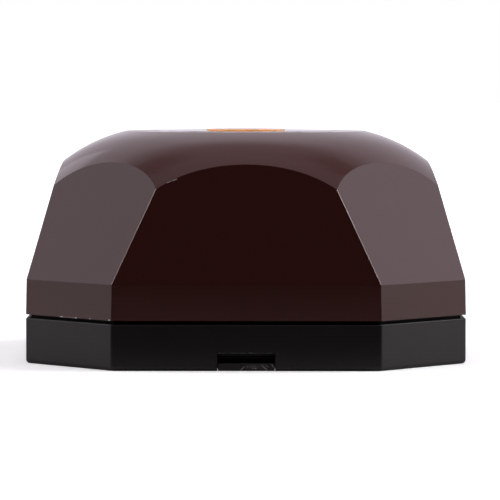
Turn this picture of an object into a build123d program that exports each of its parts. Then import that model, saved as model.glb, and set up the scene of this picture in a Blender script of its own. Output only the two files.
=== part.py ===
"""Staff call button: a faceted shop-counter bell with one sprung key.

Millimetres, +Z up. The origin is the middle of the base's underside, and the pry notch faces -Y.
"""

from build123d import *
from math import cos, radians, sin, sqrt, tan
import os

# Plan of the case: a square with cut corners
half_width = 31.0  # centre to a wide face, at the cover's lower edge
diagonal_width = 35.0  # centre to a diagonal face
band_draft = 0.1  # how far the upright band leans in by its top

# Heights of the outside
base_top = 6.45
seam_height = 0.45
band_top = 11.85
crown_height = 32.5
wide_lean = 15.0  # degrees from upright
diagonal_lean = 27.3

# Dome that the facets cut
dome_radius = 23.8
dome_centre_radius = 12.05
dome_end_angle = 27.0  # where the arc turns into a straight flank
crown_radius = 17.49  # flat top inside the arc

# Walls and edges
cover_wall = 2.0
crease_radius = 0.2
skirt_wall = 0.65
lip_clearance = 0.1
lip_thickness = 1.1
lip_height = 2.25
base_floor = 1.4
base_corner_radius = 0.6
base_bottom_radius = 0.55
base_top_chamfer = 0.15
rib_thickness = 1.2

# Bottom plate and its recess
rim_wall = 1.6
plate_gap = 0.15
plate_lift = 0.2  # underside above the table
plate_thickness = 1.5
plate_headroom = 0.1
plate_hole_radius = 1.6
plate_sink_radius = 2.7
plate_hole_pitch = 44.0
plate_edge = 0.25

# Pry notch
notch_width = 8.0
notch_height = 2.45
notch_depth = 3.5
tab_thickness = 1.03
tab_lift = 0.05  # underside above the table
tab_side_gap = 0.1
tab_setback = 0.15

# Rear tongues and front fingers of the plate
tongue_width = 5.6
tongue_reach = 1.0
tongue_thickness = 0.6
tongue_rise = 0.75
tongue_place = 12.0
pocket_gap = 0.4
finger_width = 4.0
finger_thickness = 1.1
finger_height = 2.6
finger_place = 9.5
finger_inset = 3.2
finger_edge = 0.35
finger_gap = 0.3

# Battery, size A23, and its bay
battery_radius = 5.15
battery_length = 28.5
nub_radius = 2.0
nub_length = 0.9
battery_edge = 0.4
battery_lift = 0.75  # battery above the plate
bay_gap = 0.45
bay_wall = 1.2
bay_roof = 1.0
roof_gap = 0.25
keeper_thickness = 0.7
keeper_reach = 1.0
cradle_gap = 0.3
cradle_place = 8.0
cradle_thickness = 1.4
cradle_half_width = 4.5
cradle_height = 1.7

# Contacts
contact_thickness = 0.3
contact_half_width = 5.3
contact_foot = 0.4
contact_clearance = 0.05
tail_width = 2.0
tail_rise = 1.0
slot_gap = 0.15
contact_spring_length = 2.9
contact_spring_wire = 0.3  # radius
contact_spring_wide = 4.1
contact_spring_narrow = 2.0
contact_spring_turns = 2.5

# Circuit board
board_thickness = 1.2
board_gap = 0.75
post_radius = 2.6
post_gap = 6.15  # between the bay's wall and a post
post_inset = 4.45  # from a post's centre to the board's edge
board_screw_radius = 1.0
board_screw_length = 5.0
board_head_radius = 1.9
board_head_height = 1.3

# Case screws and bosses
boss_radius = 2.9
boss_inset = 11.7  # boss centre to the diagonal face
case_screw_radius = 1.1
case_screw_length = 9.0
case_head_radius = 2.1
case_head_height = 1.4
head_depth = 2.4  # seat of the head above the floor's underside
screw_gap = 0.05
head_gap = 0.25
drive_width = 0.5
drive_depth = 0.8
drive_span = 1.2  # share of the head's radius across the cross recess

# Key, lens and trim ring
key_radius = 9.0
key_proud = 0.06
key_travel = 0.8
key_roof = 2.4
skirt_thickness = 1.3
skirt_length = 6.4
flange_reach = 0.9
flange_thickness = 0.8
flange_gap = 0.1
key_edge = 0.15
slide_gap = 0.08
collar_wall = 1.8
ring_radius = 13.0
ring_proud = 0.08
ring_thickness = 1.2
ring_gap = 0.1
ring_bevel = 0.1
ring_edge = 0.08
peg_radius = 0.6
peg_length = 1.4
peg_circle = 11.95
peg_count = 3
lens_radius = 5.75
lens_proud = 0.35  # top of the lens above the crown
lens_depth = 0.95  # how far the disc is let into the key
lens_gap = 0.06
lens_crown = 0.07
spigot_radius = 4.6
spigot_wall = 0.8
spigot_length = 3.2
stem_radius = 1.5
fin_thickness = 0.9

# Key spring
spring_radius = 6.5
spring_wire = 0.3  # radius
spring_turns = 5
spring_seat = 0.05
coil_steps = 2  # points a turn

# Switch
switch_width = 6.2
switch_height = 3.4
switch_corner = 0.5
switch_plate = 0.3
plunger_radius = 1.75
plunger_rise = 2.6
plunger_flange_radius = 2.15
plunger_flange_thickness = 0.7
plunger_gap = 0.08
chamber_gap = 0.1
leg_width = 0.7
leg_thickness = 0.25
leg_reach = 1.3
leg_pitch = 4.5
stem_gap = 0.05

# Small parts on the board
led_length = 2.0
led_width = 1.25
led_height = 0.8
led_place = 4.9
led_cup_radius = 0.5
led_cup_depth = 0.25
chip_length = 4.9
chip_width = 3.9
chip_height = 1.45
chip_standoff = 0.15
chip_bevel = 0.25
chip_leg_pitch = 1.27
chip_leg_width = 0.42
chip_leg_reach = 1.05
chip_legs_a_side = 4
chip_place = (-11.6, -7.6)
transistor_length = 2.9
transistor_width = 1.3
transistor_height = 1.0
transistor_leg_pitch = 0.95
transistor_leg_reach = 0.55
transistor_place = (12.4, 3.8)
can_radius = 4.1
can_height = 2.8
can_brim = 0.5
can_brim_thickness = 0.5
can_edge = 0.35
can_place = (11.4, -7.2)
piece_length = 2.0
piece_width = 1.25
piece_height = 0.55
piece_cap = 0.4
piece_cap_proud = 0.03
piece_places = [
    (-13.2, 0.6),
    (-9.6, 0.6),
    (-13.2, 3.6),
    (-9.6, 3.6),
    (-13.0, 7.4),
    (9.2, 0.6),
    (-4.8, -12.0),
]

# Aerial
aerial_radius = 2.2
aerial_wire = 0.35  # radius
aerial_pitch = 2.2
aerial_turns = 5
aerial_lift = 0.5
aerial_gap = 0.8  # to the head of a board screw
wire_seat = 0.15

# What follows from the sizes above
cover_bottom = base_top + seam_height
dome_centre_height = crown_height - sqrt(dome_radius**2 - (crown_radius - dome_centre_radius) ** 2)
floor_bottom = plate_lift + plate_thickness + plate_headroom
floor_top = floor_bottom + base_floor
lip_inset = skirt_wall + lip_clearance
lip_top = base_top + lip_height
wall_inset = lip_inset + lip_thickness
plate_top = plate_lift + plate_thickness
plate_inset = rim_wall + plate_gap
battery_height = plate_top + battery_lift + battery_radius
bay_top = battery_height + battery_radius + roof_gap
board_bottom = bay_top + bay_roof
board_top = board_bottom + board_thickness
bay_half_width = battery_radius + bay_gap
bay_inside = battery_length + contact_spring_length + 2 * contact_thickness + contact_clearance
bay_half_length = bay_inside / 2
boss_distance = diagonal_width - boss_inset
boss_place = boss_distance / sqrt(2)
post_place = bay_half_width + bay_wall + post_gap + post_radius
board_radius = post_place + post_inset
boss_split = lip_top + screw_gap
head_seat = floor_bottom + head_depth
key_top = crown_height + key_proud
key_ceiling = key_top - key_roof
key_bottom = key_top - skirt_length
collar_radius = key_radius + slide_gap
collar_bottom = key_bottom + flange_thickness + flange_gap
ring_seat = crown_height + ring_proud - ring_thickness
lens_top = crown_height + lens_proud
lens_seat = key_top - lens_depth
plunger_top = board_top + switch_height + plunger_rise
contact_place = bay_half_length - contact_thickness / 2
keeper_place = bay_half_length - contact_thickness - keeper_thickness / 2 - contact_clearance
keeper_row = bay_half_width - keeper_reach / 2
nub_tip = bay_half_length - contact_thickness - contact_clearance
spring_foot = contact_thickness + contact_clearance + contact_spring_wire - bay_half_length
spring_run = contact_spring_length - 2 * contact_spring_wire - 2 * contact_clearance
tongue_root = half_width - plate_inset
finger_row = plate_inset + finger_inset - half_width
tab_width = notch_width - 2 * tab_side_gap
flange_seat = board_top + switch_height - switch_plate - plunger_flange_thickness - chamber_gap
chamber_bottom = flange_seat - key_travel - chamber_gap
key_coil_length = key_ceiling - board_top - 2 * (spring_seat + spring_wire)
aerial_height = board_top + aerial_lift + aerial_wire + aerial_radius
aerial_row = post_place - board_head_radius - aerial_gap - aerial_wire - aerial_radius
aerial_start = -aerial_pitch * aerial_turns / 2
contact_coil = (contact_spring_turns, contact_spring_wide, contact_spring_narrow)
contact_coil += (spring_run, contact_spring_wire)
key_coil = (spring_turns, spring_radius, spring_radius, key_coil_length, spring_wire)
aerial_coil = (aerial_turns, aerial_radius, aerial_radius, aerial_pitch * aerial_turns, aerial_wire)
mount_places = [(boss_place, boss_place), (-boss_place, boss_place)]
mount_places += [(-boss_place, -boss_place), (boss_place, -boss_place)]


def cut_square(half, diagonal):
    """Corners of a square whose corners are cut off at a distance from the centre."""
    side = diagonal * sqrt(2) - half
    return [
        (half, -side),
        (half, side),
        (side, half),
        (-side, half),
        (-half, side),
        (-half, -side),
        (-side, -half),
        (side, -half),
    ]


def plan(inset):
    """The case's plan, drawn in evenly by an inset."""
    return cut_square(half_width - inset, diagonal_width - inset)


def skin_form(inset, bottom, crease):
    """Solid under the faceted skin, drawn in by an inset; its creases are rounded where crease isn't 0."""
    wide_slope = tan(radians(wide_lean))
    diagonal_slope = tan(radians(diagonal_lean))
    wide = half_width - band_draft - inset / cos(radians(wide_lean))
    diagonal = diagonal_width - band_draft - inset / cos(radians(diagonal_lean))
    rise = crown_height + cover_wall - band_top
    radius = dome_radius - inset
    crown = crown_height - inset
    flat_radius = dome_centre_radius + sqrt(radius**2 - (crown - dome_centre_height) ** 2)
    end_radius = dome_centre_radius + radius * cos(radians(dome_end_angle))
    end_height = dome_centre_height + radius * sin(radians(dome_end_angle))
    flank_radius = end_radius + (end_height - bottom) * tan(radians(dome_end_angle))
    with BuildPart() as form:
        with BuildSketch(Plane.XY.offset(bottom)):
            Polygon(*plan(inset), align=None)
        with BuildSketch(Plane.XY.offset(band_top)):
            Polygon(*cut_square(wide, diagonal), align=None)
        loft(ruled=True)
        with BuildSketch(Plane.XY.offset(band_top)):
            Polygon(*cut_square(wide, diagonal), align=None)
        with BuildSketch(Plane.XY.offset(band_top + rise)):
            Polygon(*cut_square(wide - rise * wide_slope, diagonal - rise * diagonal_slope), align=None)
        loft(ruled=True)
        if crease:
            inner = (bottom + crease, band_top + rise - crease)
            fillet(form.edges().filter_by_position(Axis.Z, *inner), crease)
        with BuildSketch(Plane.XZ):
            with BuildLine():
                Line((0, bottom), (0, crown))
                Line((0, crown), (flat_radius, crown))
                RadiusArc((flat_radius, crown), (end_radius, end_height), radius)
                Polyline((end_radius, end_height), (flank_radius, bottom), (0, bottom))
            make_face()
        revolve(axis=Axis.Z, mode=Mode.INTERSECT)
    return form.part


def coil_points(turns, radius_start, radius_end, length):
    """Points and directions along a coil that winds about +Z from the origin."""
    full_turn = radians(360 * turns)
    slope = (radius_end - radius_start) / full_turn
    count = round(turns * coil_steps)
    points = []
    for i in range(count + 1):
        share = i / count
        turn = full_turn * share
        radius = radius_start + (radius_end - radius_start) * share
        point = Vector(radius * cos(turn), radius * sin(turn), length * share)
        way_x = slope * cos(turn) - radius * sin(turn)
        way_y = slope * sin(turn) + radius * cos(turn)
        points.append((point, Vector(way_x, way_y, length / full_turn).normalized()))
    return points


def coil(turns, radius_start, radius_end, length, wire, lead):
    """Round wire wound about +Z from the origin in smooth arcs, after a straight lead."""
    points = coil_points(turns, radius_start, radius_end, length)
    start, start_way = points[0]
    foot = start - start_way * lead
    with BuildPart() as made:
        with BuildLine() as route:
            if lead:
                Line(foot, start)
            for (near, near_way), (far, far_way) in zip(points, points[1:]):
                across = far - near
                along = across.dot(near_way + far_way)
                bend = 2 * (1 - near_way.dot(far_way))
                handle = (sqrt(along**2 + bend * across.dot(across)) - along) / bend
                near_tip = near + near_way * handle
                far_tip = far - far_way * handle
                middle = (near_tip + far_tip) / 2
                TangentArc(near, middle, tangent=near_way)
                TangentArc(middle, far, tangent=far_tip - near_tip)
        with BuildSketch(Plane(origin=foot, z_dir=start_way)):
            Circle(wire)
        sweep(path=route.wire())
    return made.part


def coil_gap(turns, radius_start, radius_end, length, wire):
    """Least clear gap between neighbouring turns, measured on points along the coil."""
    points = [point for point, way in coil_points(turns, radius_start, radius_end, length)]
    apart = [
        (points[i] - points[j]).length
        for i in range(len(points))
        for j in range(i + coil_steps // 2 + 1, len(points))
    ]
    return min(apart) - 2 * wire


def screw(head_radius, head_height, shank_radius, length):
    """Pan-head screw whose head's seat is at the origin and whose shank points down."""
    span = drive_span * head_radius
    with BuildPart() as made:
        Cylinder(shank_radius, length, align=(Align.CENTER, Align.CENTER, Align.MAX))
        chamfer(made.faces().sort_by(Axis.Z)[0].edges(), shank_radius / 2)
        Cylinder(head_radius, head_height, align=(Align.CENTER, Align.CENTER, Align.MIN))
        fillet(made.faces().sort_by(Axis.Z)[-1].edges(), head_height / 2)
        with BuildSketch(Plane.XY.offset(head_height)):
            Rectangle(span, drive_width)
            Rectangle(drive_width, span)
        extrude(amount=-drive_depth, mode=Mode.SUBTRACT)
    return made.part


def finish(piece, name):
    """Label a piece and write it as its own file."""
    piece.label = name
    export_step(piece, f"parts/{name}.step")


os.makedirs("parts", exist_ok=True)

# Cover bosses and their webs, trimmed to the middle of the wall
with BuildPart() as cover_bosses:
    with BuildSketch(Plane.XY.offset(boss_split)):
        with Locations(*mount_places):
            Circle(boss_radius)
    extrude(amount=crown_height - boss_split)
    with BuildSketch(Plane.XY.offset(boss_split + rib_thickness)):
        with PolarLocations(boss_distance + boss_inset / 2, 4, start_angle=45):
            Rectangle(boss_inset, rib_thickness)
    extrude(amount=crown_height - boss_split - rib_thickness)
    add(skin_form(cover_wall / 2, cover_bottom, 0), mode=Mode.INTERSECT)

with BuildPart() as top_cover:
    add(skin_form(0, cover_bottom, crease_radius))
    add(skin_form(cover_wall, cover_bottom, 0), mode=Mode.SUBTRACT)
    # rebate over the base's lip
    with BuildSketch(Plane.XY.offset(cover_bottom)):
        Polygon(*plan(skirt_wall), align=None)
    extrude(amount=lip_top - cover_bottom, mode=Mode.SUBTRACT)
    # collar that guides the key
    with BuildSketch(Plane.XY.offset(collar_bottom)):
        Circle(collar_radius + collar_wall)
    extrude(amount=crown_height - cover_wall / 2 - collar_bottom)
    add(cover_bosses.part)
    with BuildSketch(Plane.XY.offset(collar_bottom)):
        Circle(collar_radius)
    extrude(amount=crown_height - collar_bottom, mode=Mode.SUBTRACT)
    # seat of the trim ring, with its peg holes
    with BuildSketch(Plane.XY.offset(ring_seat)):
        Circle(ring_radius + ring_gap)
    extrude(amount=ring_thickness, mode=Mode.SUBTRACT)
    with BuildSketch(Plane.XY.offset(ring_seat)):
        with PolarLocations(peg_circle, peg_count, start_angle=90):
            Circle(peg_radius + screw_gap)
    extrude(amount=-cover_wall, mode=Mode.SUBTRACT)
    # pilot holes for the case screws
    with BuildSketch(Plane.XY.offset(boss_split)):
        with Locations(*mount_places):
            Circle(case_screw_radius + screw_gap)
    extrude(amount=head_seat + case_screw_length + rib_thickness - boss_split, mode=Mode.SUBTRACT)
finish(top_cover.part, "top_cover")

with BuildPart() as trim_ring:
    with BuildSketch(Plane.XY.offset(ring_seat)):
        Circle(ring_radius)
        Circle(collar_radius + ring_gap, mode=Mode.SUBTRACT)
    extrude(amount=ring_thickness)
    top_edges = trim_ring.faces().sort_by(Axis.Z)[-1].edges().sort_by(SortBy.RADIUS)
    chamfer(top_edges[-1], ring_bevel)
    fillet(top_edges[0], ring_edge)
    with BuildSketch(Plane.XY.offset(ring_seat)):
        with PolarLocations(peg_circle, peg_count, start_angle=90):
            Circle(peg_radius)
    extrude(amount=-peg_length)
finish(trim_ring.part, "trim_ring")

with BuildPart() as push_key:
    with BuildSketch(Plane.XY.offset(key_bottom)):
        Circle(key_radius)
    extrude(amount=skirt_length)
    with BuildSketch(Plane.XY.offset(key_bottom)):
        Circle(key_radius + flange_reach)
    extrude(amount=flange_thickness)
    with BuildSketch(Plane.XY.offset(key_bottom)):
        Circle(key_radius - skirt_thickness)
    extrude(amount=key_ceiling - key_bottom, mode=Mode.SUBTRACT)
    with BuildSketch(Plane.XY.offset(lens_seat)):
        Circle(lens_radius + lens_gap)
    extrude(amount=lens_depth, mode=Mode.SUBTRACT)
    with BuildSketch(Plane.XY.offset(lens_seat)):
        Circle(spigot_radius + lens_gap)
    extrude(amount=-key_roof, mode=Mode.SUBTRACT)
    fillet(push_key.edges().group_by(Axis.Z)[-1].sort_by(SortBy.RADIUS)[-1], key_edge)
finish(push_key.part, "push_key")

with BuildPart() as key_lens:
    with BuildSketch(Plane.XZ):
        with BuildLine():
            Polyline(
                (0, lens_top),
                (0, plunger_top + stem_gap),
                (stem_radius, plunger_top + stem_gap),
                (stem_radius, lens_seat - lens_gap),
                (spigot_radius - spigot_wall, lens_seat - lens_gap),
                (spigot_radius - spigot_wall, lens_seat - spigot_length),
                (spigot_radius, lens_seat - spigot_length),
                (spigot_radius, lens_seat),
                (lens_radius, lens_seat),
                (lens_radius, lens_top - lens_crown),
            )
            TangentArc((0, lens_top), (lens_radius, lens_top - lens_crown), tangent=(1, 0))
        make_face()
    revolve(axis=Axis.Z)
    # cross fins that stiffen the stem
    with BuildSketch(Plane.XY.offset(lens_seat)):
        Rectangle(2 * spigot_radius - spigot_wall, fin_thickness)
        Rectangle(fin_thickness, 2 * spigot_radius - spigot_wall)
    extrude(amount=-spigot_length)
finish(key_lens.part, "key_lens")

with BuildPart() as base_case:
    with BuildSketch():
        Polygon(*plan(0), align=None)
    extrude(amount=base_top)
    fillet(base_case.edges().filter_by(Axis.Z), base_corner_radius)
    fillet(base_case.edges().group_by(Axis.Z)[0], base_bottom_radius)
    chamfer(base_case.edges().group_by(Axis.Z)[-1], base_top_chamfer)
    # tray, and the recess for the bottom plate
    with BuildSketch(Plane.XY.offset(floor_top)):
        Polygon(*plan(wall_inset), align=None)
    extrude(amount=base_top - floor_top, mode=Mode.SUBTRACT)
    with BuildSketch():
        Polygon(*plan(rim_wall), align=None)
    extrude(amount=floor_bottom, mode=Mode.SUBTRACT)
    # lip that the cover slips over
    with BuildSketch(Plane.XY.offset(floor_top)):
        Polygon(*plan(lip_inset), align=None)
        Polygon(*plan(wall_inset), align=None, mode=Mode.SUBTRACT)
    extrude(amount=lip_top - floor_top)
    # screw bosses, board posts and the webs that tie them in
    with BuildSketch(Plane.XY.offset(floor_bottom)):
        with Locations(*mount_places):
            Circle(boss_radius)
    extrude(amount=lip_top - floor_bottom)
    with BuildSketch(Plane.XY.offset(floor_bottom)):
        with Locations((0, post_place), (0, -post_place)):
            Circle(post_radius)
    extrude(amount=board_bottom - floor_bottom)
    with BuildSketch(Plane.XY.offset(floor_bottom)):
        Rectangle(rib_thickness, 2 * post_place)
    extrude(amount=bay_top - floor_bottom)
    with BuildSketch(Plane.XY.offset(floor_bottom)):
        with PolarLocations(boss_distance + boss_inset / 2 - wall_inset / 2, 4, start_angle=45):
            Rectangle(boss_inset - wall_inset, rib_thickness)
    extrude(amount=base_top - floor_bottom)
    # battery bay, open below
    with BuildSketch(Plane.XY.offset(floor_bottom)):
        Rectangle(2 * (bay_half_length + bay_wall), 2 * (bay_half_width + bay_wall))
    extrude(amount=board_bottom - floor_bottom)
    with BuildSketch():
        Rectangle(2 * bay_half_length, 2 * bay_half_width)
    extrude(amount=bay_top, mode=Mode.SUBTRACT)
    # keepers that hold the contacts against the bay's ends
    with BuildSketch(Plane.XY.offset(floor_bottom)):
        with Locations((keeper_place, keeper_row), (-keeper_place, keeper_row)):
            Rectangle(keeper_thickness, keeper_reach)
        with Locations((keeper_place, -keeper_row), (-keeper_place, -keeper_row)):
            Rectangle(keeper_thickness, keeper_reach)
    extrude(amount=bay_top - floor_bottom)
    with BuildSketch(Plane.XY.offset(bay_top)):
        with Locations((contact_place, 0), (-contact_place, 0)):
            Rectangle(contact_thickness + 2 * slot_gap, tail_width + 2 * slot_gap)
    extrude(amount=bay_roof, mode=Mode.SUBTRACT)
    # screw ways, sunk for the heads from below
    with BuildSketch(Plane.XY.offset(floor_bottom)):
        with Locations(*mount_places):
            Circle(case_head_radius + head_gap)
    extrude(amount=head_depth, mode=Mode.SUBTRACT)
    with BuildSketch(Plane.XY.offset(head_seat)):
        with Locations(*mount_places):
            Circle(case_screw_radius + 2 * screw_gap)
    extrude(amount=lip_top - head_seat, mode=Mode.SUBTRACT)
    with BuildSketch(Plane.XY.offset(board_bottom)):
        with Locations((0, post_place), (0, -post_place)):
            Circle(board_screw_radius + screw_gap)
    extrude(amount=-board_screw_length, mode=Mode.SUBTRACT)
    # pry notch in the front wall
    with BuildSketch():
        with Locations((0, notch_depth - half_width)):
            Rectangle(notch_width, 2 * notch_depth, align=(Align.CENTER, Align.MAX))
    extrude(amount=notch_height, mode=Mode.SUBTRACT)
    # pockets for the rear tongues and slots for the front fingers
    with BuildSketch(Plane.XY.offset(plate_lift + tongue_rise - pocket_gap)):
        with Locations((tongue_place, tongue_root), (-tongue_place, tongue_root)):
            Rectangle(tongue_width + 2 * pocket_gap, 2 * (tongue_reach + pocket_gap))
    extrude(amount=tongue_thickness + 3 * pocket_gap, mode=Mode.SUBTRACT)
    with BuildSketch(Plane.XY.offset(floor_bottom)):
        with Locations((finger_place, finger_row), (-finger_place, finger_row)):
            Rectangle(finger_width + 2 * finger_gap, finger_thickness + 2 * finger_gap)
    extrude(amount=base_floor, mode=Mode.SUBTRACT)
finish(base_case.part, "base_case")

with BuildPart() as bottom_plate:
    with BuildSketch(Plane.XY.offset(plate_lift)):
        Polygon(*plan(plate_inset), align=None)
    extrude(amount=plate_thickness)
    chamfer(bottom_plate.edges().group_by(Axis.Z)[0], plate_edge)
    # thin tab that shows in the notch, and the finger room behind it
    with BuildSketch(Plane.XY.offset(tab_lift)):
        with Locations((0, tab_setback - half_width)):
            Rectangle(tab_width, plate_inset + notch_depth, align=(Align.CENTER, Align.MIN))
    extrude(amount=tab_thickness)
    with BuildSketch(Plane.XY.offset(tab_lift + tab_thickness)):
        with Locations((0, -half_width)):
            Rectangle(tab_width, notch_depth, align=(Align.CENTER, Align.MIN))
    extrude(amount=plate_thickness, mode=Mode.SUBTRACT)
    # rear tongues
    with BuildSketch(Plane.XY.offset(plate_lift + tongue_rise)):
        with Locations((tongue_place, tongue_root), (-tongue_place, tongue_root)):
            Rectangle(tongue_width, 2 * tongue_reach)
    extrude(amount=tongue_thickness)
    # fingers that grip the slots in the floor
    with BuildSketch(Plane.XY.offset(plate_lift)):
        with Locations((finger_place, finger_row), (-finger_place, finger_row)):
            Rectangle(finger_width, finger_thickness)
    extrude(amount=plate_thickness + finger_height)
    tips = bottom_plate.edges().group_by(Axis.Z)[-1].filter_by(Axis.X)
    fillet(tips, finger_edge)
    # cradles under the battery
    with BuildSketch(Plane.XY.offset(plate_lift)):
        with Locations((cradle_place, 0), (-cradle_place, 0)):
            Rectangle(cradle_thickness, 2 * cradle_half_width)
    extrude(amount=plate_thickness + cradle_height)
    with BuildSketch(Plane.YZ):
        with Locations((0, battery_height)):
            Circle(battery_radius + cradle_gap)
    extrude(amount=battery_length / 2, both=True, mode=Mode.SUBTRACT)
    # screw holes for fixing the plate to a table or a wall
    with Locations((plate_hole_pitch / 2, 0, plate_top), (-plate_hole_pitch / 2, 0, plate_top)):
        CounterSinkHole(plate_hole_radius, plate_sink_radius)
finish(bottom_plate.part, "bottom_plate")

with BuildPart() as battery:
    with BuildSketch(Plane.YZ.offset(nub_tip - battery_length)):
        with Locations((0, battery_height)):
            Circle(battery_radius)
    extrude(amount=battery_length - nub_length)
    fillet(battery.edges().filter_by(GeomType.CIRCLE), battery_edge)
    with BuildSketch(Plane.YZ.offset(nub_tip - nub_length)):
        with Locations((0, battery_height)):
            Circle(nub_radius)
    extrude(amount=nub_length)
finish(battery.part, "battery")


def contact(side):
    """Flat contact at one end of the bay, with a tail that passes up through the board."""
    with BuildPart() as made:
        with BuildSketch(Plane.XY.offset(floor_bottom + contact_foot)):
            with Locations((side * contact_place, 0)):
                Rectangle(contact_thickness, 2 * contact_half_width)
        extrude(amount=bay_top - floor_bottom - 2 * contact_foot)
        with BuildSketch(Plane.XY.offset(floor_bottom + contact_foot)):
            with Locations((side * contact_place, 0)):
                Rectangle(contact_thickness, tail_width)
        extrude(amount=board_top + tail_rise - floor_bottom - contact_foot)
    return made.part


finish(contact(1), "positive_contact")
finish(contact(-1), "negative_contact")

spring_plane = Plane(origin=(spring_foot, 0, battery_height), x_dir=(0, 1, 0), z_dir=(1, 0, 0))
with BuildPart(spring_plane) as battery_spring:
    add(coil(*contact_coil, 0))
finish(battery_spring.part, "battery_spring")

with BuildPart(Plane.XY.offset(board_top + spring_seat + spring_wire)) as key_spring:
    add(coil(*key_coil, 0))
finish(key_spring.part, "key_spring")

aerial_plane = Plane(origin=(aerial_start, aerial_row, aerial_height), x_dir=(0, 1, 0), z_dir=(1, 0, 0))
with BuildPart(aerial_plane) as antenna_coil:
    add(coil(*aerial_coil, aerial_height - board_top - wire_seat))
finish(antenna_coil.part, "antenna_coil")

for name, sizes in (("battery spring", contact_coil), ("key spring", key_coil), ("aerial", aerial_coil)):
    print(name, "least gap between turns", round(coil_gap(*sizes), 2), "mm")

with BuildPart() as circuit_board:
    with BuildSketch(Plane.XY.offset(board_bottom)):
        Circle(board_radius)
        with Locations(*mount_places):
            Circle(boss_radius + board_gap, mode=Mode.SUBTRACT)
        with Locations((0, post_place), (0, -post_place)):
            Circle(board_screw_radius + 2 * screw_gap, mode=Mode.SUBTRACT)
        with Locations((contact_place, 0), (-contact_place, 0)):
            Rectangle(contact_thickness + 2 * slot_gap, tail_width + 2 * slot_gap, mode=Mode.SUBTRACT)
    extrude(amount=board_thickness)
finish(circuit_board.part, "circuit_board")

with BuildPart() as switch_body:
    with BuildSketch(Plane.XY.offset(board_top)):
        RectangleRounded(switch_width, switch_width, switch_corner)
    extrude(amount=switch_height - switch_plate)
    with BuildSketch(Plane.XY.offset(board_top + switch_height - switch_plate)):
        RectangleRounded(switch_width - switch_corner, switch_width - switch_corner, switch_corner)
    extrude(amount=switch_plate)
    with BuildSketch(Plane.XY.offset(chamber_bottom)):
        Circle(plunger_flange_radius + chamber_gap)
    extrude(amount=board_top + switch_height - switch_plate - chamber_bottom, mode=Mode.SUBTRACT)
    with BuildSketch(Plane.XY.offset(chamber_bottom)):
        Circle(plunger_radius + plunger_gap)
    extrude(amount=board_top + switch_height - chamber_bottom, mode=Mode.SUBTRACT)
    with BuildSketch(Plane.XY.offset(board_top)):
        with GridLocations(switch_width + leg_reach, leg_pitch, 2, 2):
            Rectangle(leg_reach + switch_corner, leg_width)
    extrude(amount=leg_thickness)
finish(switch_body.part, "switch_body")

with BuildPart() as switch_plunger:
    with BuildSketch(Plane.XY.offset(flange_seat)):
        Circle(plunger_flange_radius)
    extrude(amount=plunger_flange_thickness)
    with BuildSketch(Plane.XY.offset(flange_seat)):
        Circle(plunger_radius)
    extrude(amount=plunger_top - flange_seat)
    chamfer(switch_plunger.edges().group_by(Axis.Z)[-1], plunger_gap)
finish(switch_plunger.part, "switch_plunger")

with BuildPart() as status_leds:
    with BuildSketch(Plane.XY.offset(board_top)):
        with Locations((0, led_place), (0, -led_place)):
            Rectangle(led_length, led_width)
    extrude(amount=led_height)
    with Locations((0, led_place, board_top + led_height), (0, -led_place, board_top + led_height)):
        Cone(
            led_cup_radius / 2,
            led_cup_radius,
            led_cup_depth,
            align=(Align.CENTER, Align.CENTER, Align.MAX),
            mode=Mode.SUBTRACT,
        )
finish(status_leds.part, "status_leds")


def gull_leg(reach, height, width):
    """Flat leg that leaves a package at half its height, drops and turns out; it points along +Y."""
    sheet = leg_thickness
    with BuildPart() as made:
        with BuildSketch(Plane.YZ.offset(-width / 2)):
            with BuildLine():
                Polyline(
                    (-sheet, height),
                    (reach / 2, height),
                    (reach / 2 + sheet, sheet),
                    (reach + sheet, sheet),
                    (reach + sheet, 0),
                    (reach / 2, 0),
                    (reach / 2 - sheet, height - sheet),
                    (-sheet, height - sheet),
                    close=True,
                )
            make_face()
        extrude(amount=width)
    return made.part


with BuildPart(Plane.XY.offset(board_top).move(Location((*chip_place, 0)))) as encoder_chip:
    with Locations((0, 0, chip_standoff)):
        Box(chip_length, chip_width, chip_height, align=(Align.CENTER, Align.CENTER, Align.MIN))
    chamfer(encoder_chip.edges().group_by(Axis.Z)[-1], chip_bevel)
    with Locations((0, chip_width / 2)):
        with GridLocations(chip_leg_pitch, 0, chip_legs_a_side, 1):
            add(gull_leg(chip_leg_reach, chip_height / 2, chip_leg_width))
    with Locations(Location((0, -chip_width / 2), 180)):
        with GridLocations(chip_leg_pitch, 0, chip_legs_a_side, 1):
            add(gull_leg(chip_leg_reach, chip_height / 2, chip_leg_width))
finish(encoder_chip.part, "encoder_chip")

with BuildPart(Plane.XY.offset(board_top).move(Location((*transistor_place, 0)))) as rf_transistor:
    with Locations((0, 0, chip_standoff / 2)):
        Box(
            transistor_length,
            transistor_width,
            transistor_height,
            align=(Align.CENTER, Align.CENTER, Align.MIN),
        )
    chamfer(rf_transistor.edges().group_by(Axis.Z)[-1], chip_bevel / 2)
    with Locations((0, transistor_width / 2)):
        add(gull_leg(transistor_leg_reach, transistor_height / 2, chip_leg_width))
    with Locations(Location((0, -transistor_width / 2), 180)):
        with GridLocations(2 * transistor_leg_pitch, 0, 2, 1):
            add(gull_leg(transistor_leg_reach, transistor_height / 2, chip_leg_width))
finish(rf_transistor.part, "rf_transistor")

with BuildPart(Plane.XY.offset(board_top).move(Location((*can_place, 0)))) as saw_resonator:
    Cylinder(can_radius, can_height, align=(Align.CENTER, Align.CENTER, Align.MIN))
    fillet(saw_resonator.edges().group_by(Axis.Z)[-1], can_edge)
    Cylinder(can_radius + can_brim, can_brim_thickness, align=(Align.CENTER, Align.CENTER, Align.MIN))
finish(saw_resonator.part, "saw_resonator")

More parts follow.
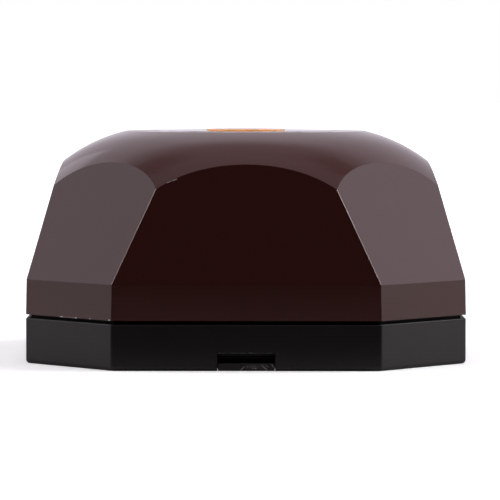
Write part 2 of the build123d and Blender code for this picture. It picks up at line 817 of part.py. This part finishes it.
with BuildPart(Plane.XY.offset(board_top)) as chip_parts:
    with Locations(*piece_places):
        Box(
            piece_length - piece_cap,
            piece_width - 2 * piece_cap_proud,
            piece_height - piece_cap_proud,
            align=(Align.CENTER, Align.CENTER, Align.MIN),
        )
        with GridLocations(piece_length - piece_cap, 0, 2, 1):
            Box(piece_cap, piece_width, piece_height, align=(Align.CENTER, Align.CENTER, Align.MIN))
finish(chip_parts.part, "chip_parts")

with BuildPart() as board_screws:
    with Locations((0, post_place, board_top), (0, -post_place, board_top)):
        add(screw(board_head_radius, board_head_height, board_screw_radius, board_screw_length))
finish(board_screws.part, "board_screws")

with BuildPart() as case_screws:
    with Locations(*[Location((x, y, head_seat), (180, 0, 0)) for x, y in mount_places]):
        add(screw(case_head_radius, case_head_height, case_screw_radius, case_screw_length))
finish(case_screws.part, "case_screws")
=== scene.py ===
"""Looks for the staff call button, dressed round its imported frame.

Metres, +Z up, the pry notch faces -Y. Materials work in millimetres of the object's own space.
"""

from math import cos, pi, radians, sin, tan

import bpy
from mathutils import Euler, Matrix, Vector


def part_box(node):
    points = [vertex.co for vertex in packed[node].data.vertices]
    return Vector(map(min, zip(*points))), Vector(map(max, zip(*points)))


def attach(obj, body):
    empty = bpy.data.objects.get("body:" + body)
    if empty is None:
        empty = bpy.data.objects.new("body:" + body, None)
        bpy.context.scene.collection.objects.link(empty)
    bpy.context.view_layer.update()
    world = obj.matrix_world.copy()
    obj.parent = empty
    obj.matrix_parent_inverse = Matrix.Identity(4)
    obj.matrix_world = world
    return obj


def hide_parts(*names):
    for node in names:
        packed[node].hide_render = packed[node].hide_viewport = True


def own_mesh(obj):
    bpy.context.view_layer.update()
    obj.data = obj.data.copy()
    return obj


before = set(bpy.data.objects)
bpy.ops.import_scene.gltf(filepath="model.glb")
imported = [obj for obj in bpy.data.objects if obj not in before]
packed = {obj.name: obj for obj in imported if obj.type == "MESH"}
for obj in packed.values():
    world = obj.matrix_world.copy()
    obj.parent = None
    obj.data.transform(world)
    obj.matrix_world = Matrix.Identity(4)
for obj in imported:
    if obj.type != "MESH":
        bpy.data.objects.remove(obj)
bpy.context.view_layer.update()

MM = 0.001


def rgb(red, green, blue):
    """Opaque colour in linear values."""
    return (red, green, blue, 1.0)


def shade_of(colour, factor):
    """The colour made lighter or darker by a factor."""
    return rgb(*[factor * part for part in colour[:3]])


# Camera, fitted to the photograph's view of the case; angles in degrees
CAMERA_PLACE = (-1.66 * MM, -459.4 * MM, 39.05 * MM)
CAMERA_PITCH_DOWN = 2.993
CAMERA_YAW = -0.283
CAMERA_ROLL = -0.082
CAMERA_LENS = 225.9
CAMERA_SENSOR = 36.0
CAMERA_NEAREST = 0.01

# Radiance of the room's parts, where white is 1
ROOM_TINT = rgb(1.0, 0.93, 1.03)
WALL = 0.77
LEFT_WALL = 0.67
RIGHT_WALL = 0.61
LEFT_PANE = 0.95
WALL_HEAD = 0.38
WALL_GAP = 0.24
CEILING = 0.405
LEFT_SIDE = 0.92
RIGHT_SIDE = 1.235
DARK_FRONT = 0.012

# Soft edges of those parts: outside a part at the first number, inside it at the second.
# Elevation in degrees
PANE_TOP = (31, 27)
HEAD_FOOT = (41, 54)
GAP_FOOT = (52, 55)
GAP_TOP = (67, 59)
CEILING_FOOT = (61, 68)
SIDE_CEILING_FOOT = (46, 54)
FRONT_TOP = (66, 54)
# Azimuth in degrees, 0 on the camera's side and 180 behind the object
PANE_EDGE = (163, 161)
GAP_END = (165, 143)
SIDE_EDGE = (126, 114)
FRONT_EDGE = (80, 70)
# Share of the direction that points right
LEFT_PANE_START = (0.0, -0.05)
LEFT_WALL_START = (-0.10, -0.20)
RIGHT_WALL_START = (0.06, 0.26)
RIGHT_SIDE_START = (-0.1, 0.1)

# Floor: half its width in metres, the tone that light bounces from, and the tone that shows
FLOOR_HALF = 6.0
FLOOR_BOUNCE = rgb(0.58, 0.55, 0.54)
FLOOR_SEEN = rgb(0.9, 0.9, 0.9)
# Light that the floor that shows adds: near the object, far away, and from where to where it changes, in mm
LIFT_NEAR = 0.28
LIFT_FAR = 0.75
LIFT_WAY = (60, 500)

# Painted shade on the floor in front of the object, seen only by light that bounces, in millimetres
FLOOR_SHADE_EDGE = -40.0
FLOOR_SHADE_SOFTNESS = 4.0
FLOOR_SHADE_HALF_WIDTH = 240.0
FLOOR_SHADE_SIDE_SOFTNESS = 20.0
FLOOR_SHADE_BLACK = rgb(0.04, 0.04, 0.04)
# Where the painted shade turns to another tone: distance forward, half width of the change, tone
FLOOR_SHADE_TONES = [
    (-62.0, 9.0, rgb(0.12, 0.115, 0.118)),
    (-200.0, 30.0, rgb(0.20, 0.117, 0.105)),
    (-372.0, 30.0, rgb(0.125, 0.064, 0.05)),
]

# Soft boxes: name, azimuth, elevation, width and height in degrees, radiance
BOX_DISTANCE = 1.1
SOFT_BOXES = [
    ("left_box", -95, 47, 30, 16, 5.3),
    ("right_box", 95, 47, 30, 16, 10.5),
]
# Box above that lights but doesn't show in reflections
TOP_BOX = ("top_box", 0, 84, 24, 16, 4.6)
# Narrow strips that only reflections see
STRIP_TINT = (1.0, 0.91, 0.91)
STRIPS = [
    ("left_strip", -74, 35, 12, 24, 13.0),
    ("right_strip", 74, 35, 12, 24, 24.0),
]

# Cover: roughness, refractive index, heights in millimetres, tones
COVER_ROUGHNESS = 0.075
COVER_INDEX = 1.58
COVER_WAVE = 0.02
COVER_PEEL = 0.0003
COVER_SCRATCH = 0.0004
COVER_DARK = rgb(0.0552, 0.0138, 0.0110)
COVER_LIGHT = rgb(0.0598, 0.0150, 0.0120)
COVER_DUST = rgb(0.42, 0.38, 0.36)
# Near-white of the nicks, partly a painted glint
COVER_NICK_GLINT = rgb(0.95, 0.88, 0.86)

# Base and bottom plate: the same
BLACK_ROUGHNESS = 0.27
BLACK_INDEX = 1.43
BLACK_GRAIN = 0.012
BLACK_SCRAPE = 0.03
BASE_BLACK = rgb(0.0082, 0.0072, 0.0076)
PLATE_BLACK = rgb(0.0044, 0.0040, 0.0042)
BLACK_DUST = rgb(0.12, 0.11, 0.11)
# Light grey of the scuffs, and of the painted highlight along the notch's edge
BLACK_SCUFF_AND_HIGHLIGHT = rgb(0.46, 0.44, 0.44)
# Black of the painted shade in the seam
PAINTED_SEAM_SHADE = rgb(0.0, 0.0, 0.0)

# Orange disc: the same, and how deep light scatters in it, in millimetres, with each colour's share of that
LENS_ROUGHNESS = 0.16
LENS_INDEX = 1.49
LENS_WAVE = 0.0006
LENS_DEPTH = 6.0
LENS_DEEP = rgb(0.985, 0.30, 0.155)
LENS_LIGHT = rgb(1.0, 0.345, 0.19)
LENS_SCATTER = (1.0, 0.42, 0.2)

# Silver key: roughness, share of metal, and in millimetres its flakes and the pitch and height of its rings
KEY_ROUGHNESS = 0.045
KEY_METALLIC = 0.82
KEY_FLAKE = 1 / 14
KEY_PITCH = 0.16
RING_HEIGHT = 0.00004
KEY_DARK = rgb(0.60, 0.585, 0.59)
KEY_LIGHT = rgb(0.72, 0.705, 0.71)

# Tones inside the case
BOARD_RESIST = rgb(0.006, 0.085, 0.03)
BOARD_TRACE = rgb(0.012, 0.15, 0.05)
JACKET_BLACK = rgb(0.02, 0.021, 0.024)
JACKET_GOLD = rgb(0.58, 0.36, 0.10)
BATTERY_CAP = rgb(0.6, 0.59, 0.56)

# Battery, in millimetres from its positive end: the gold band, the bare cap
GOLD_WIDTH = 7.0
CAP_WIDTH = 1.5

# Base's upper edge from this height up is painted black and metallic as painted shade of the seam, which
# starts over a short rise
SEAM_FOOT = 6.34
SEAM_RISE = 0.03

# Wear and painted highlights, in millimetres of the object's space: start, end, half width, strength
# Worn nicks on the cover's rim and front arc, painted near-white, partly as painted glints
NICKS_AND_GLINTS = [
    ((-25.85, -23.65, 6.93), (-25.55, -23.95, 6.95), 0.13, 0.8),
    ((-25.70, -23.80, 6.91), (-23.60, -25.90, 6.91), 0.06, 0.45),
    ((-23.70, -25.80, 6.94), (-23.50, -26.00, 6.94), 0.12, 0.8),
    ((-21.62, -27.88, 6.93), (-21.50, -28.00, 6.97), 0.11, 0.6),
    ((-18.86, -30.64, 6.95), (-18.76, -30.74, 6.98), 0.14, 1.0),
    ((-10.95, -27.20, 25.72), (-10.40, -27.14, 25.93), 0.07, 0.9),
    ((-10.20, -27.12, 26.00), (-9.60, -27.06, 26.21), 0.08, 1.0),
]
TAB_SCUFFS = [
    ((3.43, -30.85, 1.02), (3.74, -30.85, 0.56), 0.13, 1.0),
    ((3.85, -30.85, 0.66), (3.91, -30.85, 0.06), 0.08, 0.7),
    ((2.09, -30.85, 0.87), (2.84, -30.85, 0.20), 0.17, 0.85),
    ((2.57, -30.85, 0.93), (3.04, -30.85, 0.55), 0.11, 0.5),
    ((0.85, -30.85, 0.38), (1.33, -30.85, 0.41), 0.15, 0.75),
    ((-0.79, -30.85, 0.10), (-0.28, -30.85, 0.62), 0.12, 0.7),
    ((0.10, -30.85, 0.62), (2.20, -30.85, 0.58), 0.45, 0.16),
    ((-3.90, -30.85, 0.19), (-3.80, -30.85, 0.23), 0.11, 0.7),
]
# Painted highlight along the notch's top edge, drawn in the scuff colour
NOTCH_EDGE_HIGHLIGHT = [
    ((-3.80, -31.0, 2.50), (3.50, -31.0, 2.50), 0.07, 0.3),
    ((0.45, -31.0, 2.52), (1.00, -31.0, 2.47), 0.09, 0.5),
]


class Nodes:
    """Short calls that fill one node tree. Each value is a number, a colour or another node's socket."""

    def __init__(self, tree):
        self.tree = tree
        tree.nodes.clear()

    def feed(self, socket, value):
        if isinstance(value, bpy.types.NodeSocket):
            self.tree.links.new(value, socket)
        else:
            socket.default_value = value

    def add(self, kind, inputs=None, **settings):
        node = self.tree.nodes.new(kind)
        for name, value in settings.items():
            setattr(node, name, value)
        for name, value in (inputs or {}).items():
            self.feed(node.inputs[name], value)
        return node

    def math(self, operation, *values):
        return self.add("ShaderNodeMath", dict(enumerate(values)), operation=operation).outputs[0]

    def plus(self, first, second):
        return self.math("ADD", first, second)

    def minus(self, first, second):
        return self.math("SUBTRACT", first, second)

    def times(self, first, second):
        return self.math("MULTIPLY", first, second)

    def degrees(self, operation, *values):
        """Angle by one of the arc functions."""
        return self.math("DEGREES", self.math(operation, *values))

    def step(self, value, low, high):
        """0 below low, 1 above high, smooth between; low may be the larger one."""
        inputs = {"Value": value, "From Min": low, "From Max": high}
        return self.add("ShaderNodeMapRange", inputs, interpolation_type="SMOOTHSTEP").outputs[0]

    def blend(self, share, first, second):
        """Number between two others."""
        return self.plus(first, self.times(share, self.minus(second, first)))

    def colour(self, share, first, second):
        """Colour between two others."""
        return self.add("ShaderNodeMix", {0: share, 6: first, 7: second}, data_type="RGBA").outputs[2]

    def shader(self, share, first, second):
        """Shader between two others."""
        return self.add("ShaderNodeMixShader", {0: share, 1: first, 2: second}).outputs[0]

    def vector(self, operation, *values):
        """All outputs of a vector operation."""
        return self.add("ShaderNodeVectorMath", dict(enumerate(values)), operation=operation).outputs

    def scaled(self, vector, factor):
        inputs = {0: vector, "Scale": factor}
        return self.add("ShaderNodeVectorMath", inputs, operation="SCALE").outputs[0]

    def axes(self, vector):
        """X, Y and Z of a vector, by name."""
        return self.add("ShaderNodeSeparateXYZ", {0: vector}).outputs

    def red(self, colour):
        return self.add("ShaderNodeSeparateColor", {0: colour}).outputs[0]

    def place(self):
        """The object's own coordinates in millimetres."""
        return self.scaled(self.add("ShaderNodeTexCoord").outputs["Object"], 1 / MM)

    def noise(self, place, scale, detail=2.0, roughness=0.5):
        inputs = {"Vector": place, "Scale": scale, "Detail": detail, "Roughness": roughness}
        return self.add("ShaderNodeTexNoise", inputs).outputs[0]

    def turned(self, place, turn, stretch):
        """Coordinates turned by three angles in degrees and then stretched, for streaks."""
        rotation = [radians(angle) for angle in turn]
        inputs = {"Vector": place, "Rotation": rotation, "Scale": stretch}
        return self.add("ShaderNodeMapping", inputs).outputs[0]

    def hairlines(self, place, turn, spacing, length, width):
        """Mask of fine straight scratches along one direction."""
        stretch = (1 / length, 1 / spacing, 1 / spacing)
        streaks = self.noise(self.turned(place, turn, stretch), scale=1.0, detail=3.0)
        off_line = self.math("ABSOLUTE", self.minus(streaks, 0.5))
        return self.step(off_line, width, 0.0)

    def specks(self, place, spacing, size, share):
        """Mask of dots in some of the cells of a random pattern."""
        cells = self.add("ShaderNodeTexVoronoi", {"Vector": place, "Scale": 1 / spacing}).outputs
        dot = self.step(cells["Distance"], size / spacing, 0.5 * size / spacing)
        chosen = self.math("LESS_THAN", self.red(cells["Color"]), share)
        return self.times(dot, chosen)

    def marks(self, place, strokes):
        """Mask of worn strokes, each a straight line between two points with soft sides."""
        mask = 0.0
        for start, end, half_width, strength in strokes:
            run = Vector(end) - Vector(start)
            here = self.vector("SUBTRACT", place, start)[0]
            share = self.vector("DOT_PRODUCT", here, run / run.length_squared)["Value"]
            share = self.math("MINIMUM", self.math("MAXIMUM", share, 0.0), 1.0)
            off = self.vector("DISTANCE", here, self.scaled(run, share))["Value"]
            stroke = self.times(self.step(off, half_width, 0.0), strength)
            mask = self.math("MAXIMUM", mask, stroke)
        return mask

    def turned_rings(self, place, pitch):
        """Fine rings round the Z axis, as a lathe leaves them."""
        flat = self.vector("MULTIPLY", place, (1.0, 1.0, 0.0))[0]
        radius = self.vector("LENGTH", flat)["Value"]
        rings = self.add("ShaderNodeCombineXYZ", {0: self.math("DIVIDE", radius, pitch)}).outputs[0]
        return self.noise(rings, scale=1.0, detail=4.0, roughness=0.7)

    def finish(self, inputs, height):
        """Principled shader, with bumps of a height in millimetres, and the output."""
        bump = self.add("ShaderNodeBump", {"Height": height, "Strength": 1.0, "Distance": MM})
        shader = self.add("ShaderNodeBsdfPrincipled", {**inputs, "Normal": bump.outputs[0]})
        self.add("ShaderNodeOutputMaterial", {"Surface": shader.outputs[0]})


def material(name):
    """New material, its nodes and the place on the object that they work from."""
    made = bpy.data.materials.new(name)
    made.use_nodes = True
    nodes = Nodes(made.node_tree)
    return made, nodes, nodes.place()


def glossy_brown():
    """Polished brown moulding, slightly wavy, with smudges, hairlines, dust, and worn nicks on its rim and
    front arc painted near-white, partly as painted glints.
    """
    made, nodes, place = material("cover_brown")
    brown = nodes.colour(nodes.noise(place, scale=0.07, detail=3.0), COVER_DARK, COVER_LIGHT)
    dust = nodes.specks(place, spacing=2.6, size=0.045, share=0.16)
    lines = nodes.math(
        "MAXIMUM",
        nodes.hairlines(place, turn=(12, 35, 20), spacing=2.2, length=26.0, width=0.0022),
        nodes.hairlines(place, turn=(-30, -20, 75), spacing=2.8, length=18.0, width=0.0018),
    )
    nicks_and_glints = nodes.marks(place, NICKS_AND_GLINTS)
    tone = nodes.colour(nodes.times(dust, 0.55), brown, COVER_DUST)
    tone = nodes.colour(nicks_and_glints, tone, COVER_NICK_GLINT)
    smudge = nodes.step(nodes.noise(place, scale=0.11, detail=4.0, roughness=0.6), 0.48, 0.72)
    rough = nodes.plus(COVER_ROUGHNESS, nodes.times(smudge, 0.035))
    rough = nodes.plus(rough, nodes.times(lines, 0.12))
    rough = nodes.plus(rough, nodes.times(nodes.math("MAXIMUM", dust, nicks_and_glints), 0.5))
    wave = nodes.times(nodes.noise(place, scale=0.09, detail=1.0), COVER_WAVE)
    peel = nodes.times(nodes.noise(place, scale=1.3, detail=2.0), COVER_PEEL)
    height = nodes.minus(nodes.plus(wave, peel), nodes.times(lines, COVER_SCRATCH))
    nodes.finish({"Base Color": tone, "Roughness": rough, "IOR": COVER_INDEX}, height)
    return made


def satin_black(name, colour, wear):
    """Black moulding with a fine spark-eroded grain; above the seam's foot it is painted shade that returns
    no light.
    """
    made, nodes, place = material(name)
    grain = nodes.noise(place, scale=7.0, detail=3.0, roughness=0.6)
    cloud = nodes.step(nodes.noise(place, scale=0.12, detail=3.0), 0.35, 0.7)
    dust = nodes.specks(place, spacing=1.9, size=0.05, share=0.2)
    rubbed = nodes.step(nodes.noise(place, scale=2.6, detail=4.0, roughness=0.7), 0.3, 0.6)
    # Scuffs on the plate's tab; on the base the same strokes paint a highlight along the notch's edge
    scuff_and_highlight = nodes.times(nodes.marks(place, wear), rubbed)
    # Painted shade: above the seam's foot the surface turns black and fully metallic, so it returns no
    # light
    seam_painted_shade = nodes.step(nodes.axes(place)["Z"], SEAM_FOOT, SEAM_FOOT + SEAM_RISE)
    tone = nodes.colour(cloud, colour, shade_of(colour, 1.25))
    tone = nodes.colour(nodes.times(dust, 0.5), tone, BLACK_DUST)
    tone = nodes.colour(nodes.times(grain, 0.25), tone, shade_of(colour, 2.1))
    tone = nodes.colour(scuff_and_highlight, tone, BLACK_SCUFF_AND_HIGHLIGHT)
    tone = nodes.colour(seam_painted_shade, tone, PAINTED_SEAM_SHADE)
    rough = nodes.plus(BLACK_ROUGHNESS, nodes.times(grain, 0.12))
    height = nodes.minus(nodes.times(grain, BLACK_GRAIN), nodes.times(scuff_and_highlight, BLACK_SCRAPE))
    nodes.finish({"Base Color": tone, "Metallic": seam_painted_shade, "Roughness": rough, "IOR": BLACK_INDEX}, height)
    return made


def orange_lens():
    """Translucent orange disc with faint hairlines."""
    made, nodes, place = material("lens_orange")
    tone = nodes.colour(nodes.noise(place, scale=0.4, detail=3.0), LENS_DEEP, LENS_LIGHT)
    lines = nodes.hairlines(place, turn=(0, 0, 40), spacing=1.4, length=9.0, width=0.003)
    rough = nodes.plus(LENS_ROUGHNESS, nodes.times(lines, 0.25))
    height = nodes.times(nodes.noise(place, scale=2.2, detail=2.0), LENS_WAVE)
    inputs = {
        "Base Color": tone,
        "Roughness": rough,
        "IOR": LENS_INDEX,
        "Subsurface Weight": 1.0,
        "Subsurface Radius": LENS_SCATTER,
        "Subsurface Scale": LENS_DEPTH * MM,
    }
    nodes.finish(inputs, height)
    return made


def silver_lacquer():
    """Silver lacquer with fine flakes over turned rings."""
    made, nodes, place = material("key_silver")
    cells = nodes.add("ShaderNodeTexVoronoi", {"Vector": place, "Scale": 1 / KEY_FLAKE}).outputs
    flake = nodes.red(cells["Color"])
    tone = nodes.colour(flake, KEY_DARK, KEY_LIGHT)
    rings = nodes.turned_rings(place, KEY_PITCH)
    rough = nodes.plus(KEY_ROUGHNESS, nodes.times(nodes.times(flake, rings), 0.06))
    height = nodes.times(rings, RING_HEIGHT)
    nodes.finish({"Base Color": tone, "Metallic": KEY_METALLIC, "Roughness": rough}, height)
    return made


def plated(name, colour, roughness, pitch=0.0, metallic=1.0):
    """Bright metal or plating with faint handling marks, and turned rings where it has a pitch."""
    made, nodes, place = material(name)
    cloud = nodes.step(nodes.noise(place, scale=0.5, detail=4.0, roughness=0.6), 0.45, 0.75)
    tone = nodes.colour(cloud, colour, shade_of(colour, 0.94))
    lines = nodes.hairlines(place, turn=(10, 5, 30), spacing=0.9, length=12.0, width=0.004)
    rough = nodes.plus(roughness, nodes.times(cloud, 0.02))
    rough = nodes.plus(rough, nodes.times(lines, 0.15))
    height = nodes.times(lines, -0.0008)
    if pitch:
        rings = nodes.turned_rings(place, pitch)
        rough = nodes.plus(rough, nodes.times(rings, 0.03))
        height = nodes.plus(height, nodes.times(rings, RING_HEIGHT))
    nodes.finish({"Base Color": tone, "Metallic": metallic, "Roughness": rough}, height)
    return made


def moulded(name, colour, roughness):
    """Plain moulded or fired piece inside the case."""
    made, nodes, place = material(name)
    cloud = nodes.noise(place, scale=0.6, detail=3.0)
    tone = nodes.colour(cloud, shade_of(colour, 0.8), colour)
    height = nodes.times(nodes.noise(place, scale=4.0, detail=3.0), 0.006)
    rough = nodes.plus(roughness, nodes.times(cloud, 0.1))
    nodes.finish({"Base Color": tone, "Roughness": rough, "IOR": 1.5}, height)
    return made


def board_green():
    """Solder resist over straight copper traces."""
    made, nodes, place = material("board_green")
    inputs = {"Vector": place, "Scale": 1.0, "Mortar Size": 0.14, "Brick Width": 3.4, "Row Height": 1.27}
    traces = nodes.add("ShaderNodeTexBrick", inputs).outputs["Fac"]
    tone = nodes.colour(traces, BOARD_RESIST, BOARD_TRACE)
    nodes.finish({"Base Color": tone, "Roughness": 0.28, "IOR": 1.52}, nodes.times(traces, 0.03))
    return made


def battery_jacket():
    """Plain wrapped jacket with a gold band and a bare cap at the positive end."""
    made, nodes, place = material("battery_jacket")
    along = nodes.axes(place)["X"]
    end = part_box("battery")[1].x / MM
    gold = nodes.step(along, end - GOLD_WIDTH, end - GOLD_WIDTH + 0.1)
    cap = nodes.step(along, end - CAP_WIDTH, end - CAP_WIDTH + 0.2)
    wear = nodes.noise(place, scale=1.2, detail=4.0)
    tone = nodes.colour(gold, JACKET_BLACK, JACKET_GOLD)
    tone = nodes.colour(cap, tone, BATTERY_CAP)
    rough = nodes.plus(0.25, nodes.times(wear, 0.15))
    nodes.finish({"Base Color": tone, "Metallic": cap, "Roughness": rough}, nodes.times(wear, 0.002))
    return made


def dress():
    """Give every piece of the frame its finish."""
    ring = plated("ring_silver", rgb(0.80, 0.79, 0.80), 0.04, pitch=0.14, metallic=0.8)
    nickel = plated("contact_nickel", rgb(0.64, 0.62, 0.57), 0.22)
    zinc = plated("screw_zinc", rgb(0.55, 0.56, 0.58), 0.3, pitch=0.2)
    finishes = {
        glossy_brown(): ["top_cover"],
        satin_black("base_black", BASE_BLACK, NOTCH_EDGE_HIGHLIGHT): ["base_case"],
        satin_black("plate_black", PLATE_BLACK, TAB_SCUFFS): ["bottom_plate"],
        orange_lens(): ["key_lens"],
        silver_lacquer(): ["push_key"],
        ring: ["trim_ring"],
        plated("spring_steel", rgb(0.58, 0.57, 0.56), 0.24): ["key_spring"],
        plated("aerial_copper", rgb(0.72, 0.33, 0.17), 0.26): ["antenna_coil"],
        nickel: ["positive_contact", "negative_contact", "battery_spring"],
        plated("can_metal", rgb(0.70, 0.68, 0.63), 0.2): ["saw_resonator"],
        zinc: ["case_screws", "board_screws"],
        moulded("chip_black", rgb(0.014, 0.014, 0.015), 0.45): ["encoder_chip", "rf_transistor"],
        moulded("chip_ceramic", rgb(0.16, 0.11, 0.07), 0.4): ["chip_parts"],
        moulded("switch_grey", rgb(0.045, 0.045, 0.048), 0.4): ["switch_body"],
        moulded("plunger_black", rgb(0.012, 0.012, 0.012), 0.35): ["switch_plunger"],
        moulded("led_white", rgb(0.78, 0.76, 0.68), 0.3): ["status_leds"],
        board_green(): ["circuit_board"],
        battery_jacket(): ["battery"],
    }
    for finish, pieces in finishes.items():
        for piece in pieces:
            packed[piece].data.materials.clear()
            packed[piece].data.materials.append(finish)


def make_key_coil():
    """The key's spring as its own piece carried by the case, in place of the packed one; its foot stays on
    the board.
    """
    coil = bpy.data.objects.new("key_coil", packed["key_spring"].data.copy())
    bpy.context.scene.collection.objects.link(coil)
    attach(coil, "case")
    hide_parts("key_spring")
    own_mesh(coil)


def make_floor():
    """Plain pale floor; light that bounces meets painted shade on it, in front of the object."""
    mesh = bpy.data.meshes.new("floor")
    corners = ((-1, -1), (1, -1), (1, 1), (-1, 1))
    mesh.from_pydata([(x * FLOOR_HALF, y * FLOOR_HALF, 0) for x, y in corners], [], [(0, 1, 2, 3)])
    floor = bpy.data.objects.new("floor", mesh)
    bpy.context.scene.collection.objects.link(floor)
    made, nodes, place = material("floor_pale")
    axes = nodes.axes(place)
    along = axes["Y"]
    aside = nodes.math("ABSOLUTE", axes["X"])
    in_front = nodes.step(along, FLOOR_SHADE_EDGE + FLOOR_SHADE_SOFTNESS, FLOOR_SHADE_EDGE - FLOOR_SHADE_SOFTNESS)
    between = nodes.step(aside, FLOOR_SHADE_HALF_WIDTH + FLOOR_SHADE_SIDE_SOFTNESS, FLOOR_SHADE_HALF_WIDTH - FLOOR_SHADE_SIDE_SOFTNESS)
    # Painted shade: darker floor tones in front of the object, for bounced and reflected light only
    floor_shade = FLOOR_SHADE_BLACK
    for forward, softness, tone in FLOOR_SHADE_TONES:
        floor_shade = nodes.colour(nodes.step(along, forward + softness, forward - softness), floor_shade, tone)
    bounce = nodes.colour(nodes.times(in_front, between), FLOOR_BOUNCE, floor_shade)
    bounced = nodes.add("ShaderNodeBsdfDiffuse", {"Color": bounce}).outputs[0]
    far = nodes.step(nodes.vector("LENGTH", place)["Value"], *LIFT_WAY)
    lift = nodes.add("ShaderNodeEmission", {"Strength": nodes.blend(far, LIFT_NEAR, LIFT_FAR)}).outputs[0]
    pale = nodes.add("ShaderNodeBsdfDiffuse", {"Color": FLOOR_SEEN}).outputs[0]
    seen = nodes.add("ShaderNodeAddShader", {0: pale, 1: lift}).outputs[0]
    to_camera = nodes.add("ShaderNodeLightPath").outputs["Is Camera Ray"]
    nodes.add("ShaderNodeOutputMaterial", {"Surface": nodes.shader(to_camera, bounced, seen)})
    mesh.materials.append(made)


def make_room():
    """World light by direction: pale walls behind and beside the object, a dark front behind the camera.

    Rays from the camera and through glass see plain white. Glossy rays keep the room, because the
    photograph's cover and rings mirror walls greyer than the white behind them.
    """
    world = bpy.data.worlds.new("room")
    bpy.context.scene.world = world
    world.use_nodes = True
    nodes = Nodes(world.node_tree)
    way = nodes.axes(nodes.add("ShaderNodeTexCoord").outputs["Generated"])
    across, along, up = way["X"], way["Y"], way["Z"]
    azimuth = nodes.degrees("ARCTAN2", nodes.math("ABSOLUTE", across), nodes.times(along, -1.0))
    elevation = nodes.degrees("ARCSINE", up)

    wall = nodes.blend(nodes.step(across, *RIGHT_WALL_START), WALL, RIGHT_WALL)
    wall = nodes.blend(nodes.step(across, *LEFT_WALL_START), wall, LEFT_WALL)
    pane = nodes.times(nodes.step(azimuth, *PANE_EDGE), nodes.step(across, *LEFT_PANE_START))
    pane = nodes.times(pane, nodes.step(elevation, *PANE_TOP))
    wall = nodes.blend(pane, wall, LEFT_PANE)
    wall = nodes.blend(nodes.step(elevation, *HEAD_FOOT), wall, WALL_HEAD)
    wall = nodes.blend(nodes.step(elevation, *CEILING_FOOT), wall, CEILING)
    gap = nodes.times(nodes.step(elevation, *GAP_FOOT), nodes.step(elevation, *GAP_TOP))
    gap = nodes.times(gap, nodes.step(azimuth, *GAP_END))
    wall = nodes.blend(gap, wall, WALL_GAP)

    side = nodes.blend(nodes.step(across, *RIGHT_SIDE_START), LEFT_SIDE, RIGHT_SIDE)
    side = nodes.blend(nodes.step(elevation, *SIDE_CEILING_FOOT), side, CEILING)
    light = nodes.blend(nodes.step(azimuth, *SIDE_EDGE), wall, side)
    front = nodes.times(nodes.step(azimuth, *FRONT_EDGE), nodes.step(elevation, *FRONT_TOP))
    light = nodes.blend(front, light, DARK_FRONT)

    room = nodes.add("ShaderNodeBackground", {"Color": ROOM_TINT, "Strength": light}).outputs[0]
    white = nodes.add("ShaderNodeBackground", {"Color": rgb(1.0, 1.0, 1.0), "Strength": 1.0}).outputs[0]
    path = nodes.add("ShaderNodeLightPath").outputs
    sees_white = nodes.math("MAXIMUM", path["Is Camera Ray"], path["Is Transmission Ray"])
    nodes.add("ShaderNodeOutputWorld", {"Surface": nodes.shader(sees_white, room, white)})


def soft_box(name, azimuth, elevation, width, height, radiance):
    """Lamp that faces the object and fills a given angle as seen from it."""
    data = bpy.data.lights.new(name, "AREA")
    data.shape = "RECTANGLE"
    data.size = 2 * BOX_DISTANCE * tan(radians(width / 2))
    data.size_y = 2 * BOX_DISTANCE * tan(radians(height / 2))
    data.energy = radiance * pi * data.size * data.size_y
    lamp = bpy.data.objects.new(name, data)
    turn, rise = radians(azimuth), radians(elevation)
    way = Vector((cos(rise) * sin(turn), -cos(rise) * cos(turn), sin(rise)))
    lamp.location = BOX_DISTANCE * way
    lamp.rotation_euler = way.to_track_quat("Z", "Y").to_euler()
    lamp.visible_camera = False
    bpy.context.scene.collection.objects.link(lamp)
    return lamp


def make_lamps():
    """Boxes at the sides and above, and the strips."""
    for box in SOFT_BOXES:
        soft_box(*box)
    top = soft_box(*TOP_BOX)
    top.visible_glossy = False
    for row in STRIPS:
        strip = soft_box(*row)
        strip.visible_diffuse = False
        strip.data.color = STRIP_TINT


def make_camera():
    """Camera at the photograph's viewing angle."""
    data = bpy.data.cameras.new("camera")
    data.lens = CAMERA_LENS
    data.sensor_width = CAMERA_SENSOR
    data.clip_start = CAMERA_NEAREST
    camera = bpy.data.objects.new("camera", data)
    camera.location = CAMERA_PLACE
    angles = (90 - CAMERA_PITCH_DOWN, CAMERA_ROLL, CAMERA_YAW)
    camera.rotation_euler = Euler([radians(angle) for angle in angles])
    bpy.context.scene.collection.objects.link(camera)
    bpy.context.scene.camera = camera


make_camera()
make_room()
make_floor()
make_lamps()
dress()
make_key_coil()
bpy.context.scene.view_settings.view_transform = "Standard"
